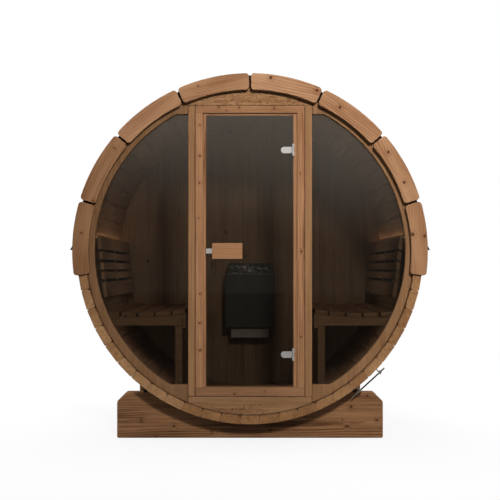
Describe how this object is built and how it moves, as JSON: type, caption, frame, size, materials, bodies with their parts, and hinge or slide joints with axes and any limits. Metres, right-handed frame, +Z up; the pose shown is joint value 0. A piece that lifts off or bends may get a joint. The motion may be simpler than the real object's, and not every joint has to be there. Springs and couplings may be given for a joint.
{
  "type": "barrel sauna",
  "caption": "Round wooden barrel sauna on saddle cradles, with a glazed front wall, a hinged glass door, curved benches and a stone heater.",
  "frame": {"origin": "centre of the bounding box at ground level, under the middle of the barrel", "axes": "+X to the right seen from the door side, +Y from the door towards the rear wall along the barrel, +Z up"},
  "size_m": [2.08, 1.8, 2.134],
  "materials": {
    "stave_wood": "oiled, planed",
    "cradle_wood": "planed, laminated",
    "fascia_wood": "oiled, eased edges",
    "wall_wood": "oiled, planed",
    "casing_wood": "oiled, planed",
    "bench_wood": "planed, smooth",
    "handle_wood": "smooth",
    "smoked_glass": "clear, bronze tint",
    "roof_bitumen": "mineral surface",
    "black_metal": "satin",
    "black_rubber": "matte",
    "band_steel": "rolled",
    "zinc_steel": "galvanised",
    "chrome": "satin chrome",
    "heater_paint": "anthracite, matte",
    "heater_steel": "brushed",
    "heater_stone": "rough, split",
    "warm_light": "lit, warm white"
  },
  "bodies": {
    "shell": {"staves_top": "stave_wood", "staves_right_upper": "stave_wood", "staves_right_lower": "stave_wood", "staves_bottom": "stave_wood", "staves_left_lower": "stave_wood", "staves_left_upper": "stave_wood", "steel_bands": "band_steel", "tensioner_front": "zinc_steel", "tensioner_rear": "zinc_steel", "cradle_front": "cradle_wood", "cradle_rear": "cradle_wood", "saddle_pads": "black_rubber", "roof_cover": "roof_bitumen", "drip_edge_left": "black_metal", "drip_edge_right": "black_metal", "fascia_front_left": "fascia_wood", "fascia_front_right": "fascia_wood", "fascia_rear_left": "fascia_wood", "fascia_rear_right": "fascia_wood", "front_header": "wall_wood", "front_base": "wall_wood", "front_post_left": "wall_wood", "front_post_right": "wall_wood", "front_side_left": "wall_wood", "front_side_right": "wall_wood", "window_panes": "smoked_glass", "casing_jamb_left": "casing_wood", "casing_jamb_right": "casing_wood", "casing_head": "casing_wood", "casing_threshold": "casing_wood", "hinge_brackets": "chrome", "rear_wall": "wall_wood", "bench_slats_left": "bench_wood", "bench_slats_right": "bench_wood", "bench_bearers": "bench_wood", "bench_skirts": "bench_wood", "backrest_slats_left": "bench_wood", "backrest_slats_right": "bench_wood", "backrest_brackets": "bench_wood", "led_strips": "warm_light", "heater_housing": "heater_paint", "heater_stones": "heater_stone", "heater_base": "heater_steel"},
    "door": {"door_glass": "smoked_glass", "door_handle": "handle_wood", "door_latch_plate": "chrome", "door_hinge_leaves": "chrome"}
  },
  "joints": [
    {"name": "door_swing", "type": "hinge", "parent": "shell", "child": "door", "pos_m": [0.25, -0.8425, 1.102], "axis": [0, 0, 1], "range_deg": [0, 100]}
  ]
}
